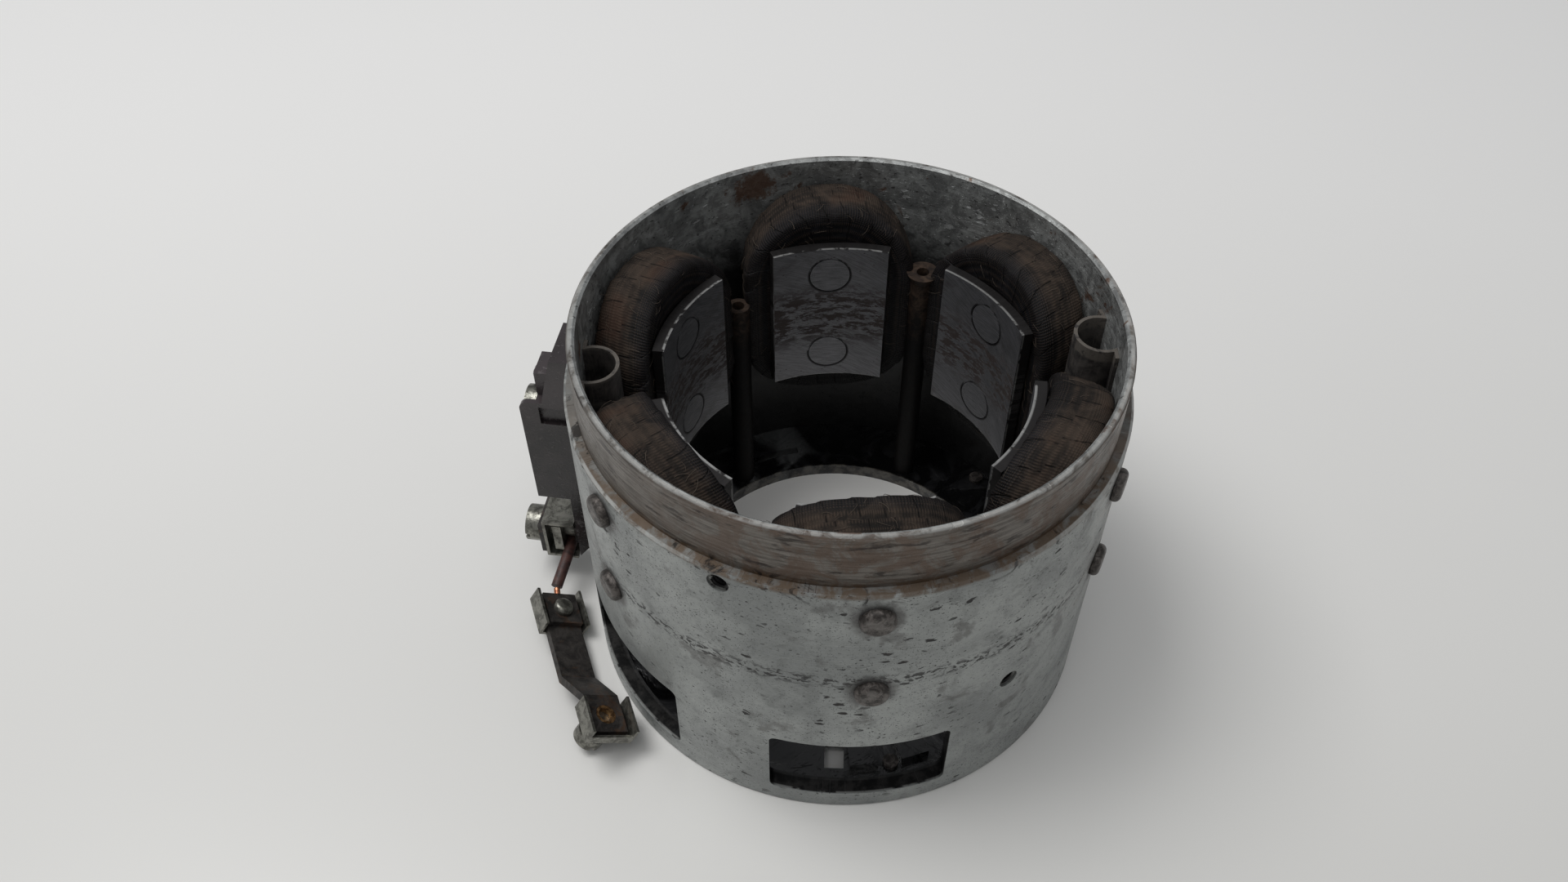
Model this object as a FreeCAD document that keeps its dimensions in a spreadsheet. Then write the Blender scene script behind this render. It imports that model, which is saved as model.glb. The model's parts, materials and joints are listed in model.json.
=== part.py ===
import FreeCAD, Part
import Sketcher
import math
import os

# Field frame of a small dynamo: a turned steel tube with six riveted pole pieces,
# taped field coils, an end ring and a moulded terminal block with its link bar.
# Millimetres. +Z is the axis of the tube, and the origin is the centre of its bottom face.

V = FreeCAD.Vector
doc = FreeCAD.newDocument("FieldFrame")

# ---------------------------------------------------------------- driving sizes
sizeTable = [
    ("yoke_radius", 70.0, "outside of the tube"),
    ("yoke_length", 108.9, "whole length of the tube"),
    ("yoke_bore", 65.4, "inside radius of the tube"),
    ("spigot_radius", 67.45, "turned-down register at the top"),
    ("spigot_length", 16.5, "length of the register"),
    ("edge_break", 0.6, "chamfer on the turned edges"),
    ("pole_turn", 3.7, "turn of the poles from the axes, degrees"),
    ("pole_half_angle", 19.8, "half the arc of a pole shoe, degrees"),
    ("pole_bore", 46.1, "radius of the pole faces"),
    ("shoe_thickness", 3.0, "thickness of a pole shoe"),
    ("shoe_bottom", 46.3, "height of a shoe's lower edge"),
    ("shoe_length", 46.7, "length of a shoe"),
    ("core_width", 17.0, "width of the pole's core"),
    ("core_length", 39.5, "length of the pole's core"),
    ("core_corner", 1.5, "rounding of the pole's core"),
    ("seat_gap", 0.05, "gap between a seat and what it carries"),
    ("rivet_spacing", 28.6, "distance between the two rivets of a pole"),
    ("rivet_radius", 3.0, "shank of a pole rivet"),
    ("rivet_face_radius", 5.5, "flush end of a rivet in the pole face"),
    ("rivet_face_depth", 2.4, "depth of the flush end"),
    ("rivet_head_radius", 4.2, "closed head outside the tube"),
    ("rivet_head_height", 2.0, "height of the closed head"),
    ("rivet_clearance", 0.2, "gap round the flush end of a rivet"),
    ("coil_half_width", 24.0, "half the width of a coil"),
    ("coil_half_length", 32.5, "half the length of a coil"),
    ("coil_end_radius", 21.5, "rounding of the coil's ends"),
    ("coil_clearance", 0.5, "gap round the pole's core, shoe and wall"),
    ("coil_front_rounding", 6.0, "rounding of the coil towards the bore"),
    ("coil_back_rounding", 4.5, "rounding of the coil at the wall"),
    ("window_count", 2, "inspection windows that are cut"),
    ("window_pitch", 60.0, "angle between the windows, degrees"),
    ("window_direction", -87.3, "direction of the front window, degrees"),
    ("window_half_width", 22.7, "half the width of a window"),
    ("window_bottom", 6.3, "height of a window's sill"),
    ("window_height", 24.1, "height of a window"),
    ("window_corner", 1.8, "rounding of a window's corners"),
    ("tapped_radius", 2.1, "tapped holes in the tube"),
    ("upper_tapped_direction", -115.5, "direction of the upper tapped hole, degrees"),
    ("upper_tapped_height", 88.3, "height of the upper tapped hole"),
    ("lower_tapped_direction", -55.7, "direction of the lower tapped hole, degrees"),
    ("lower_tapped_height", 41.9, "height of the lower tapped hole"),
    ("ring_bore", 47.0, "hole in the end ring"),
    ("ring_thickness", 4.2, "thickness of the end ring"),
    ("ring_fit", 0.05, "gap between the end ring and the tube"),
    ("slot_inner", 53.6, "inner radius of a crescent slot"),
    ("slot_width", 2.4, "width of a crescent slot"),
    ("slot_angle", 26.0, "arc of a crescent slot, degrees"),
    ("slot_direction", 102.0, "start of the first crescent slot, degrees"),
    ("port_inner", 53.0, "inner radius of the lead port in the ring"),
    ("port_length", 8.5, "radial length of the lead port"),
    ("port_width", 5.2, "width of the lead port"),
    ("port_direction", -92.4, "direction of the lead port, degrees"),
    ("pad_height", 2.6, "height of the pads on the end ring"),
    ("pad_inner", 54.0, "inner radius of the pads"),
    ("pad_length", 8.0, "radial length of the pads"),
    ("pad_width", 7.6, "width of the pads"),
    ("stud_radius", 2.1, "head of a ring rivet"),
    ("stud_shank", 1.4, "shank of a ring rivet"),
    ("stud_height", 1.2, "height of a ring rivet's head"),
    ("tube_radius", 3.2, "outside of a bolt tube"),
    ("tube_bore", 1.75, "bore of a bolt tube"),
    ("tube_circle", 51.5, "radius of the circle of the bolt tubes"),
    ("left_tube_top", 75.6, "height of the left bolt tube's top"),
    ("right_tube_top", 85.0, "height of the right bolt tube's top"),
    ("tube_flare", 1.3, "flare at the top of the right bolt tube"),
    ("strip_thickness", 0.9, "thickness of an insulation strip"),
    ("strip_half_angle", 8.0, "half the arc of an insulation strip, degrees"),
    ("strip_bottom", 36.0, "height of a strip's lower edge"),
    ("left_strip_top", 97.5, "height of the left strip's top"),
    ("right_strip_top", 100.0, "height of the right strip's top"),
    ("channel_radius", 6.8, "outside of the bolt channel in a strip"),
    ("channel_circle", 62.6, "radius of the circle of the bolt channels"),
    ("block_direction", 171.9, "direction of the terminal block, degrees"),
    ("block_width", 15.0, "width of the terminal block"),
    ("block_top", 91.5, "height of the block's top"),
    ("block_bottom", 14.0, "height of the block's bottom"),
    ("block_depth", 11.8, "depth of the block at its middle"),
    ("block_top_depth", 4.5, "depth of the block at its top"),
    ("block_foot_depth", 5.5, "depth of the block behind the lower terminal"),
    ("shroud_depth", 2.9, "how far the shroud stands out of the block"),
    ("shroud_bottom", 38.5, "height of the shroud's lower edge"),
    ("shroud_top", 76.0, "height of the shroud's top"),
    ("shroud_rounding", 2.4, "rounding of the shroud's top edge"),
    ("well_clearance", 0.6, "gap round the upper terminal screw's head"),
    ("upper_terminal_height", 68.0, "height of the upper terminal"),
    ("lower_terminal_height", 17.0, "height of the lower terminal"),
    ("terminal_head_radius", 5.4, "head of a terminal screw"),
    ("terminal_head_length", 4.5, "length of a terminal screw's head"),
    ("terminal_shank", 2.9, "shank of a terminal screw"),
    ("driver_slot_width", 1.2, "width of a screwdriver slot"),
    ("driver_slot_depth", 1.3, "depth of a screwdriver slot"),
    ("hole_clearance", 0.15, "gap round a screw's shank"),
    ("saddle_sheet", 0.9, "sheet of the saddle clamps"),
    ("saddle_half_length", 6.0, "half the length of a saddle clamp"),
    ("saddle_lip", 8.6, "lips of the block's saddle clamp"),
    ("spacer_length", 2.4, "spacer on the block's foot"),
    ("spacer_half_width", 3.4, "half the width of the spacer"),
    ("plate_length", 2.6, "thickness of the block's clamp plate"),
    ("plate_half_width", 5.2, "half the width of the clamp plates"),
    ("washer_length", 1.3, "thickness of the terminal washers"),
    ("washer_half_width", 5.9, "half the width of the lower terminal washer"),
    ("lead_radius", 1.65, "outside of the lead"),
    ("lead_core", 0.9, "bare copper of the lead"),
    ("bar_width", 10.6, "width of the link bar"),
    ("bar_thickness", 2.0, "thickness of the link bar"),
    ("bar_tail", 5.5, "bar behind its upper screw"),
    ("bar_straight", 22.6, "bar from its upper screw to its first bend"),
    ("bar_run", 11.0, "length over which the bar steps up"),
    ("bar_rise", 7.6, "height of the bar's step"),
    ("bar_end", 11.5, "bar after its second bend"),
    ("bar_hole", 6.1, "lower hole, from the second bend"),
    ("link_head_radius", 4.2, "head of a link screw"),
    ("link_head_length", 3.6, "length of a link screw's head"),
    ("link_shank", 2.9, "shank of a link screw"),
    ("link_tip", 3.6, "upper link screw above the bar"),
    ("lug_sheet", 0.8, "sheet of the link's saddles"),
    ("lug_half_length", 6.2, "half the length of the link's upper saddle"),
    ("lug_ear", 5.4, "height of a saddle's ears"),
    ("lug_clearance", 0.9, "gap between the bar's sides and the ears"),
    ("cap_thickness", 1.7, "square plate on the link's upper end"),
    ("bush_wall", 0.8, "wall of the brass bush in the lower hole"),
    ("bush_bore", 2.1, "bore of the brass bush"),
    ("collar_length", 4.8, "collar of the lower link screw"),
]

sheet = doc.addObject("Spreadsheet::Sheet", "sizes")
for row, (alias, value, note) in enumerate(sizeTable, start=1):
    sheet.set("A%d" % row, note)
    sheet.set("B%d" % row, str(value))
    sheet.setAlias("B%d" % row, alias)
doc.recompute()


def size(alias):
    """The number in the sheet's cell of that name."""
    return float(sheet.get(alias))


def cells(text):
    """An expression for FreeCAD: each {name} becomes that cell of the sheet."""
    return text.replace("{", "sizes.").replace("}", "")


# ---------------------------------------------------------------- small helpers
nodes = []


def keep(item, label):
    """Marks an object as one of the finished pieces and names its file."""
    item.Label = label
    nodes.append(item)
    return item


def bind(item, **properties):
    for name, text in properties.items():
        item.setExpression(name, cells(text))
    return item


def place(item, x="0", y="0", z="0"):
    item.setExpression("Placement.Base.x", cells(x))
    item.setExpression("Placement.Base.y", cells(y))
    item.setExpression("Placement.Base.z", cells(z))
    return item


def cylinder(radius, height, z="0", angle="360"):
    item = doc.addObject("Part::Cylinder", "Cylinder")
    bind(item, Radius=radius, Height=height, Angle=angle)
    return place(item, z=z)


def radialCylinder(radius, start, length, z, y="0"):
    """A cylinder that lies along +X, from start outwards."""
    item = doc.addObject("Part::Cylinder", "RadialCylinder")
    item.Placement = FreeCAD.Placement(V(), FreeCAD.Rotation(V(0, 1, 0), 90))
    bind(item, Radius=radius, Height=length)
    return place(item, x=start, y=y, z=z)


def block(x, length, halfWidth, z, height):
    """A box that is centred on Y."""
    item = doc.addObject("Part::Box", "Box")
    bind(item, Length=length, Width="(%s) * 2" % halfWidth, Height=height)
    return place(item, x=x, y="-(%s)" % halfWidth, z=z)


def boolean(kind, base, tool):
    item = doc.addObject("Part::" + kind, kind)
    item.Base = base
    item.Tool = tool
    return item


def cut(base, *tools):
    for tool in tools:
        base = boolean("Cut", base, tool)
    return base


def fuse(first, *others):
    item = doc.addObject("Part::MultiFuse", "Fuse")
    item.Shapes = [first, *others]
    item.Refine = True
    return item


def common(base, tool):
    return boolean("Common", base, tool)


def rounded(base, radius, chosen):
    """A fillet on each edge of base that the test chosen accepts."""
    doc.recompute()
    item = doc.addObject("Part::Fillet", "Fillet")
    item.Base = base
    item.Edges = [(number, radius, radius)
                  for number, edge in enumerate(base.Shape.Edges, start=1) if chosen(edge)]
    return item


def middle(edge):
    return edge.valueAt((edge.FirstParameter + edge.LastParameter) / 2)


def isAlongX(edge):
    """True for a straight edge that runs along X."""
    direction = edge.Vertexes[-1].Point - edge.Vertexes[0].Point
    return abs(direction.y) + abs(direction.z) < 0.001


def turned(item, degrees):
    """Turns a piece about the tube's axis. A primitive keeps its own place inside a group."""
    if item.isDerivedFrom("Part::Primitive"):
        carrier = doc.addObject("Part::Compound", "Turned")
        carrier.Links = [item]
        item = carrier
    item.Placement = FreeCAD.Placement(V(), FreeCAD.Rotation(V(0, 0, 1), degrees))
    return item


def newSketch(body, name, role):
    plane = [f for f in body.Origin.OriginFeatures if f.Role == role][0]
    sketch = body.newObject("Sketcher::SketchObject", name)
    sketch.AttachmentSupport = [(plane, "")]
    sketch.MapMode = "FlatFace"
    return sketch


def drawOutline(sketch, points):
    """Draws a closed outline. Each point is a pair of expressions, across and up."""
    count = len(points)
    for number in range(count):
        start = V(number, number * number, 0)
        end = V(number + 1, (number + 1) * (number + 1), 0)
        sketch.addGeometry(Part.LineSegment(start, end), False)
    for number in range(count):
        following = (number + 1) % count
        sketch.addConstraint(Sketcher.Constraint("Coincident", number, 2, following, 1))
    for number, (across, up) in enumerate(points):
        for kind, text in (("DistanceX", across), ("DistanceY", up)):
            added = sketch.addConstraint(Sketcher.Constraint(kind, -1, 1, number, 1, 1.0))
            name = "%s%d" % (kind, number)
            sketch.renameConstraint(added, name)
            sketch.setExpression("Constraints." + name, cells(text))


def spun(name, points):
    """A body turned about Z from an outline in the XZ plane."""
    body = doc.addObject("PartDesign::Body", name)
    sketch = newSketch(body, name + "Profile", "XZ_Plane")
    drawOutline(sketch, points)
    spin = body.newObject("PartDesign::Revolution", name + "Spin")
    spin.Profile = sketch
    spin.ReferenceAxis = (sketch, ["V_Axis"])
    spin.Angle = 360
    return body


def padded(name, role, points, thickness):
    """A body of even thickness, centred on the plane of its outline."""
    body = doc.addObject("PartDesign::Body", name)
    sketch = newSketch(body, name + "Profile", role)
    drawOutline(sketch, points)
    pad = body.newObject("PartDesign::Pad", name + "Pad")
    pad.Profile = sketch
    pad.Midplane = True
    pad.setExpression("Length", cells(thickness))
    return body


# ---------------------------------------------------------------- yoke
poleAngles = [90 + size("pole_turn") + 60 * number for number in range(6)]
rivetMiddle = "({shoe_bottom} + {shoe_length} / 2)"
rivetHeights = [rivetMiddle + " - {rivet_spacing} / 2", rivetMiddle + " + {rivet_spacing} / 2"]
stepHeight = "({yoke_length} - {spigot_length})"


def makeYoke():
    tube = spun("Yoke", [
        ("{yoke_bore}", "0"),
        ("{yoke_radius} - {edge_break}", "0"),
        ("{yoke_radius}", "{edge_break}"),
        ("{yoke_radius}", stepHeight + " - {edge_break}"),
        ("{yoke_radius} - {edge_break}", stepHeight),
        ("{spigot_radius}", stepHeight),
        ("{spigot_radius}", "{yoke_length} - {edge_break}"),
        ("{spigot_radius} - {edge_break}", "{yoke_length}"),
        ("{yoke_bore} + {edge_break}", "{yoke_length}"),
        ("{yoke_bore}", "{yoke_length} - {edge_break}"),
    ])
    tools = []
    for number in range(int(size("window_count"))):
        opening = block("{yoke_bore} / 2", "{yoke_radius}", "{window_half_width}",
                        "{window_bottom}", "{window_height}")
        opening = rounded(opening, size("window_corner"), isAlongX)
        tools.append(turned(opening, size("window_direction") - number * size("window_pitch")))
    for which in ("upper", "lower"):
        hole = radialCylinder("{tapped_radius}", "{yoke_bore} / 2", "{yoke_radius}",
                              "{%s_tapped_height}" % which)
        hole = fuse(hole, radialCylinder("{tapped_radius} + {edge_break}",
                                         "{yoke_radius} - {edge_break}", "{edge_break} * 2",
                                         "{%s_tapped_height}" % which))
        tools.append(turned(hole, size(which + "_tapped_direction")))
    for angle in poleAngles:
        pair = [radialCylinder("{rivet_radius} + {hole_clearance}", "{yoke_bore} / 2",
                               "{yoke_radius}", height) for height in rivetHeights]
        tools.append(turned(fuse(*pair), angle))
    keep(cut(tube, fuse(*tools)), "yoke")


# ---------------------------------------------------------------- pole pieces and rivets
shoeBack = "({pole_bore} + {shoe_thickness})"


def makePole(number, angle):
    shoe = cut(cylinder(shoeBack, "{shoe_length}", "{shoe_bottom}", "{pole_half_angle} * 2"),
               cylinder("{pole_bore}", "{shoe_length}", "{shoe_bottom}"))
    shoe.Placement = FreeCAD.Placement(V(), FreeCAD.Rotation(V(0, 0, 1), -size("pole_half_angle")))
    core = block("{pole_bore} + {shoe_thickness} / 2", "{yoke_bore} - {pole_bore}",
                 "{core_width} / 2", rivetMiddle + " - {core_length} / 2", "{core_length}")
    core = rounded(core, size("core_corner"), isAlongX)
    core = common(core, cylinder("{yoke_bore} - {seat_gap}", "{yoke_length}"))
    drilled = []
    for height in rivetHeights:
        drilled.append(radialCylinder("{rivet_radius} + {hole_clearance}", "{pole_bore} / 2",
                                      "{yoke_radius}", height))
        drilled.append(radialCylinder("{rivet_face_radius} + {rivet_clearance}", "{pole_bore} / 2",
                                      "{pole_bore} / 2 + {rivet_face_depth}", height))
    piece = cut(fuse(shoe, core), fuse(*drilled))
    keep(turned(piece, angle), "pole_piece_%d" % number)


def makeRivet(height, angle):
    """A pole rivet: flush end at the bore, shank, and closed head outside the tube."""
    flush = radialCylinder("{rivet_face_radius}", "{pole_bore} - {rivet_face_depth}",
                           "{rivet_face_depth} * 2 - {seat_gap}", height)
    flush = cut(flush, cylinder("{pole_bore}", "{yoke_length}"))
    shank = radialCylinder("{rivet_radius}", "{pole_bore} + {rivet_face_depth} / 2",
                           "{yoke_radius} + {rivet_head_height} / 2 - {pole_bore} "
                           "- {rivet_face_depth} / 2", height)
    head = radialCylinder("{rivet_head_radius}", "{yoke_radius} + {seat_gap}",
                          "{rivet_head_height}", height)
    rim = size("yoke_radius") + size("seat_gap") + size("rivet_head_height")
    head = rounded(head, size("rivet_head_height") * 0.75,
                   lambda edge: edge.Closed and middle(edge).x > rim - 0.001)
    return turned(fuse(flush, shank, head), angle)


# ---------------------------------------------------------------- field coils
coilFront = "(" + shoeBack + " + {coil_clearance})"
coilBack = "({yoke_bore} - {coil_clearance})"


def makeCoil(number, angle):
    """A taped coil: a rounded ring round the pole's core, bent to the wall."""
    outside = block("{pole_bore} / 2", "{yoke_bore}", "{coil_half_width}",
                    rivetMiddle + " - {coil_half_length}", "{coil_half_length} * 2")
    outside = rounded(outside, size("coil_end_radius"), isAlongX)
    inside = block("{pole_bore} / 2", "{yoke_bore}", "{core_width} / 2 + {coil_clearance}",
                   rivetMiddle + " - {core_length} / 2 - {coil_clearance}",
                   "{core_length} + {coil_clearance} * 2")
    inside = rounded(inside, size("core_corner"), isAlongX)
    shell = cut(cylinder(coilBack, "{yoke_length}"), cylinder(coilFront, "{yoke_length}"))
    ring = common(cut(outside, inside), shell)
    doc.recompute()
    front = size("pole_bore") + size("shoe_thickness") + size("coil_clearance")
    back = size("yoke_bore") - size("coil_clearance")
    halfWindow = size("core_width") / 2 + 2 * size("coil_clearance")
    halfHeight = size("core_length") / 2 + 2 * size("coil_clearance")
    centre = size("shoe_bottom") + size("shoe_length") / 2

    def isRim(edge, radius):
        point = middle(edge)
        isOuter = abs(point.y) > halfWindow or abs(point.z - centre) > halfHeight
        return isOuter and abs(math.hypot(point.x, point.y) - radius) < 0.001

    item = doc.addObject("Part::Fillet", "Fillet")
    item.Base = ring
    item.Edges = [(place_, radius, radius)
                  for place_, edge in enumerate(ring.Shape.Edges, start=1)
                  for rim, radius in ((front, size("coil_front_rounding")),
                                      (back, size("coil_back_rounding")))
                  if isRim(edge, rim) and not isAlongX(edge)]
    keep(turned(item, angle), "field_coil_%d" % number)


# ---------------------------------------------------------------- end ring
def makeEndRing():
    plate = cylinder("{yoke_bore} - {ring_fit}", "{ring_thickness}")
    pads = []
    for offset in (0, 13):
        pad = block("{pad_inner}", "{pad_length}", "{pad_width} / 2", "{ring_thickness} / 2",
                    "{ring_thickness} / 2 + {pad_height}")
        pads.append(turned(pad, size("port_direction") + 7.4 + offset))
    openings = [cylinder("{ring_bore}", "{ring_thickness}")]
    for number in range(3):
        slot = cut(cylinder("{slot_inner} + {slot_width}", "{ring_thickness}", "0", "{slot_angle}"),
                   cylinder("{slot_inner}", "{ring_thickness}"))
        openings.append(turned(slot, size("slot_direction") + 120 * number))
    port = block("{port_inner}", "{port_length}", "{port_width} / 2", "0", "{ring_thickness}")
    openings.append(turned(port, size("port_direction")))
    for angle in studAngles():
        openings.append(turned(radialStud("{stud_shank} + {hole_clearance}", "0",
                                          "{ring_thickness}"), angle))
    keep(cut(fuse(plate, *pads), fuse(*openings)), "end_ring")


def studAngles():
    """The ring's rivets stand midway between its pads and a third of a turn apart."""
    first = size("port_direction") + 14.2
    return [first + 120 * number for number in range(3)]


def radialStud(radius, z, height):
    stud = cylinder(radius, height, z)
    return place(stud, x="{yoke_bore} - {stud_radius} * 2", z=z)


def makeRingRivets():
    rivets = []
    for angle in studAngles():
        shank = radialStud("{stud_shank}", "0", "{ring_thickness} + {stud_height} / 2")
        head = radialStud("{stud_radius}", "{ring_thickness} + {seat_gap}", "{stud_height}")
        rivets.append(turned(fuse(shank, head), angle))
    group("ring_rivets", rivets)


def group(label, items):
    """Identical fasteners share one node, as a group of separate solids."""
    item = doc.addObject("Part::Compound", "Group")
    item.Links = items
    keep(item, label)


# ---------------------------------------------------------------- bolt tubes and strips
def makeTube(label, top, flare, angle):
    length = "{%s} - {ring_thickness} - {seat_gap}" % top
    outside = cylinder("{tube_radius}", length, "{ring_thickness} + {seat_gap}")
    if flare:
        mouth = doc.addObject("Part::Cone", "Mouth")
        bind(mouth, Radius1="{tube_radius}", Radius2="{tube_radius} + {tube_flare}",
             Height="{tube_flare} * 2")
        place(mouth, z="{%s} - {tube_flare} * 2" % top)
        outside = fuse(outside, mouth)
    tube = cut(outside, cylinder("{tube_bore}", "{yoke_length}"))
    tube.Placement = FreeCAD.Placement(
        FreeCAD.Rotation(V(0, 0, 1), angle).multVec(V(size("tube_circle"), 0, 0)),
        FreeCAD.Rotation(V(0, 0, 1), angle))
    keep(tube, label)


def makeStrip(label, top, angle):
    """A strip of insulation on the wall, with a half-round channel for a through bolt."""
    height = "{%s} - {strip_bottom}" % top
    wall = "{yoke_bore} - {seat_gap}"
    sheetLayer = cut(cylinder(wall, height, "{strip_bottom}", "{strip_half_angle} * 2"),
                     cylinder(wall + " - {strip_thickness}", height, "{strip_bottom}"))
    sheetLayer.Placement = FreeCAD.Placement(
        V(), FreeCAD.Rotation(V(0, 0, 1), -size("strip_half_angle")))
    channel = place(cylinder("{channel_radius}", height), x="{channel_circle}", z="{strip_bottom}")
    channel = common(channel, cylinder(wall, "{yoke_length}"))
    hollow = place(cylinder("{channel_radius} - {strip_thickness}", height),
                   x="{channel_circle}", z="{strip_bottom}")
    keep(turned(cut(fuse(sheetLayer, channel), hollow), angle), label)


# ---------------------------------------------------------------- terminal block
blockBack = "({yoke_radius} + {seat_gap})"
blockFace = "({yoke_radius} + {block_depth})"
blockFoot = "({yoke_radius} + {block_foot_depth})"
upperSeat = "(" + blockFace + " - {block_depth} * 0.12)"
saddleHalf = "({terminal_shank} + {hole_clearance} * 3 + {lead_radius} * 2 + {saddle_sheet})"


def makeBlock():
    body = padded("Block", "XZ_Plane", [
        ("{yoke_radius} - {block_foot_depth}", "{block_bottom} + {block_foot_depth}"),
        ("{yoke_radius} + {block_foot_depth} / 2", "{block_bottom} + {block_foot_depth} / 2"),
        (blockFoot, "{block_bottom} - {block_foot_depth} / 5"),
        (blockFoot, "{shroud_bottom}"),
        (blockFace, "{shroud_bottom}"),
        (blockFace + " - {edge_break}", "({shroud_bottom} + {shroud_top}) / 2"),
        (upperSeat, "{upper_terminal_height}"),
        ("{yoke_radius} + {block_top_depth} + {shroud_depth}",
         "{shroud_top} + {shroud_depth} * 1.5"),
        ("{yoke_radius} + {block_top_depth}", "{block_top}"),
        ("{yoke_radius} - {block_foot_depth}", "{block_top}"),
    ], "{block_width}")
    shroud = block(blockFoot, "{block_depth} - {block_foot_depth} + {shroud_depth}",
                   "{block_width} / 2", "{shroud_bottom}", "{shroud_top} - {shroud_bottom}")
    outerFace = size("yoke_radius") + size("block_depth") + size("shroud_depth")
    top = size("shroud_top")

    def isOuterTop(edge):
        point = middle(edge)
        return abs(point.x - outerFace) < 0.001 and abs(point.z - top) < 0.001

    shroud = rounded(shroud, size("shroud_rounding"), isOuterTop)
    lug = block("{yoke_radius}", "{block_depth}", "{block_width} * 0.28", "{shroud_top} - 2",
                "({block_top} - {shroud_top}) / 2 + 2")
    moulding = fuse(body, shroud, lug)
    well = radialCylinder("{terminal_head_radius} + {well_clearance}", upperSeat,
                          "{block_depth} * 2", "{upper_terminal_height}")
    mouth = block(upperSeat, "{block_depth} * 2", "{terminal_head_radius} + {well_clearance}",
                  "{upper_terminal_height}", "{block_top} - {upper_terminal_height}")
    notch = block("{yoke_radius} + {block_top_depth} / 2", "{block_depth} - {block_top_depth}",
                  "{block_width} / 2", "{upper_terminal_height} + {edge_break}",
                  "{terminal_head_radius} + {edge_break}")
    notchKeep = block("{yoke_radius}", "{block_depth} * 2", "{block_width} / 2 - {edge_break} * 2",
                      "{block_bottom}", "{block_top} - {block_bottom}")
    recess = block(blockFoot + " + {edge_break}", "{block_depth} - {block_foot_depth} + 3",
                   "{block_width} / 2 - {edge_break} * 4", "{shroud_bottom} - 1",
                   "{terminal_head_radius} + {driver_slot_width} * 2")
    bore = radialCylinder("{terminal_shank} + {hole_clearance}", "{yoke_radius} / 2",
                          "{yoke_radius}", "{upper_terminal_height}")
    lowerBore = radialCylinder("{terminal_shank} + {hole_clearance}", "{yoke_radius} / 2",
                               "{yoke_radius}", "{lower_terminal_height}")
    moulding = cut(moulding, fuse(well, mouth), cut(notch, notchKeep), recess, bore, lowerBore,
                   cylinder(blockBack, "{yoke_length}"))
    keep(turned(moulding, size("block_direction")), "terminal_block")


def makeTerminalScrew(label, seat, height):
    """A slotted cheese-head screw that stands out along the block's direction."""
    head = radialCylinder("{terminal_head_radius}", seat, "{terminal_head_length}", height)
    groove = block(seat + " + {terminal_head_length} - {driver_slot_depth}",
                   "{driver_slot_depth} * 2", "{terminal_head_radius} * 2",
                   height + " - {driver_slot_width} / 2", "{driver_slot_width}")
    shank = radialCylinder("{terminal_shank}", blockBack + " + {saddle_sheet}",
                           seat + " - " + blockBack, height)
    keep(turned(fuse(cut(head, groove), shank), size("block_direction")), label)


def squarePlate(start, length, halfWidth, height):
    plate = block(start, length, halfWidth, height + " - " + halfWidth, halfWidth + " * 2")
    hole = radialCylinder("{terminal_shank} + {hole_clearance}", start, length, height)
    return cut(plate, hole)


def makeTerminals():
    """The hardware of the lower terminal is stacked outwards from the block's foot."""
    height = "{lower_terminal_height}"
    spacerStart = blockFoot + " + {seat_gap}"
    plateStart = spacerStart + " + {spacer_length} + {lead_radius} * 2 + {seat_gap}"
    webStart = plateStart + " + {plate_length} + {lead_radius}"
    washerStart = webStart + " + {saddle_sheet} + {seat_gap}"
    headStart = washerStart + " + {washer_length} + {seat_gap}"
    direction = size("block_direction")
    spacer = squarePlate(spacerStart, "{spacer_length}", "{spacer_half_width}", height)
    keep(turned(spacer, direction), "terminal_spacer")
    plate = squarePlate(plateStart, "{plate_length}", "{plate_half_width}", height)
    keep(turned(plate, direction), "terminal_clamp_plate")
    web = block(webStart, "{saddle_sheet}", "{saddle_half_length}",
                height + " - " + saddleHalf, saddleHalf + " * 2")
    lips = [block(webStart + " - {saddle_lip}", "{saddle_lip} + {saddle_sheet}",
                  "{saddle_half_length}", start, "{saddle_sheet}")
            for start in (height + " - " + saddleHalf,
                          height + " + " + saddleHalf + " - {saddle_sheet}")]
    hole = radialCylinder("{terminal_shank} + {hole_clearance}", webStart, "{saddle_sheet}", height)
    keep(turned(cut(fuse(web, *lips), hole), direction), "terminal_saddle")
    washer = squarePlate(washerStart, "{washer_length}", "{washer_half_width}", height)
    keep(turned(washer, direction), "terminal_washer")
    makeTerminalScrew("lower_terminal_screw", headStart, height)
    makeTerminalScrew("upper_terminal_screw", upperSeat + " + {seat_gap}",
                      "{upper_terminal_height}")


# ---------------------------------------------------------------- link bar
# The link is built flat, X along the bar from its upper screw and Z up through its screws,
# and is then laid down as it rests: on the heads of its two screws, rolled to one side.
linkPlacement = FreeCAD.Placement(V(-80.6, -13.3, 7.75), FreeCAD.Rotation(-70.6, 3.3, -32.6))
lowerHole = "({bar_straight} + {bar_run} + {bar_hole})"
lugWeb = "{bar_width} / 2 + {lug_clearance} + {lug_sheet}"


def laid(item, label):
    item.Placement = linkPlacement
    return keep(item, label)


def post(radius, start, length, x="0"):
    """A cylinder of the link that stands along its local Z."""
    return place(cylinder(radius, length), x=x, z=start)


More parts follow.
